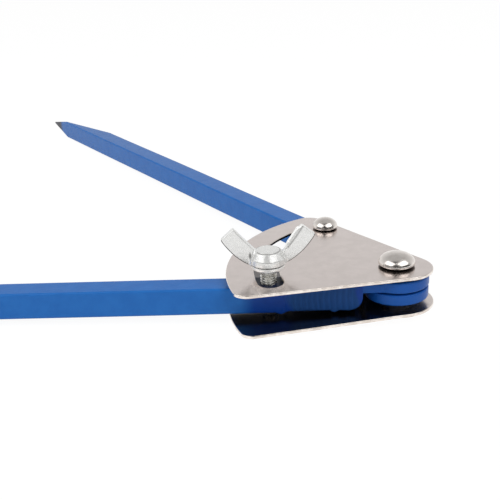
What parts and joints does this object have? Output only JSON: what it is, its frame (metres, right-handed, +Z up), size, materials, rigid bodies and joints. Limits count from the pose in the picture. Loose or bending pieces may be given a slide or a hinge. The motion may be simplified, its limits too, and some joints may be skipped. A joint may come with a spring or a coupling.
{
  "type": "divider caliper",
  "caption": "Divider caliper with straight square legs and ground points, pivoted between sector plates and locked at any angle by a wing screw in an arc slot.",
  "frame": {"origin": "on the table, under the middle of the whole tool, legs open at the pictured angle", "axes": "+X towards the pivot end and along the front leg, +Y towards the rear leg, +Z up from the table on which the tool lies"},
  "size_m": [0.3396, 0.29, 0.0354],
  "materials": {
    "blue_paint": "glossy blue lacquer over forged steel, worn to bare dark steel at the points",
    "nickel_plate": "nickel plated sheet with fine rolling lines and broken edges",
    "polished_nickel": "polished nickel",
    "cast_zinc": "bright die-cast zinc, slightly rough",
    "zinc_thread": "zinc plated steel thread"
  },
  "bodies": {
    "frame": {"rear_leg": "blue_paint", "top_plate": "nickel_plate", "bottom_plate": "nickel_plate", "pivot_rivet": "polished_nickel", "rear_rivet": "polished_nickel"},
    "swing_leg": {"front_leg": "blue_paint"},
    "wing_screw": {"wing_head": "cast_zinc", "screw_stud": "zinc_thread"}
  },
  "joints": [
    {"name": "leg_swing", "type": "hinge", "parent": "frame", "child": "swing_leg", "pos_m": [0.15615, -0.12201, 0.01106], "axis": [-0.015, 0.0078, 0.9999], "range_deg": [-49, 10]},
    {"name": "wing_screw_turn", "type": "hinge", "parent": "swing_leg", "child": "wing_screw", "pos_m": [0.11038, -0.12718, 0.00901], "axis": [-0.015, 0.0078, 0.9999], "continuous": true}
  ]
}
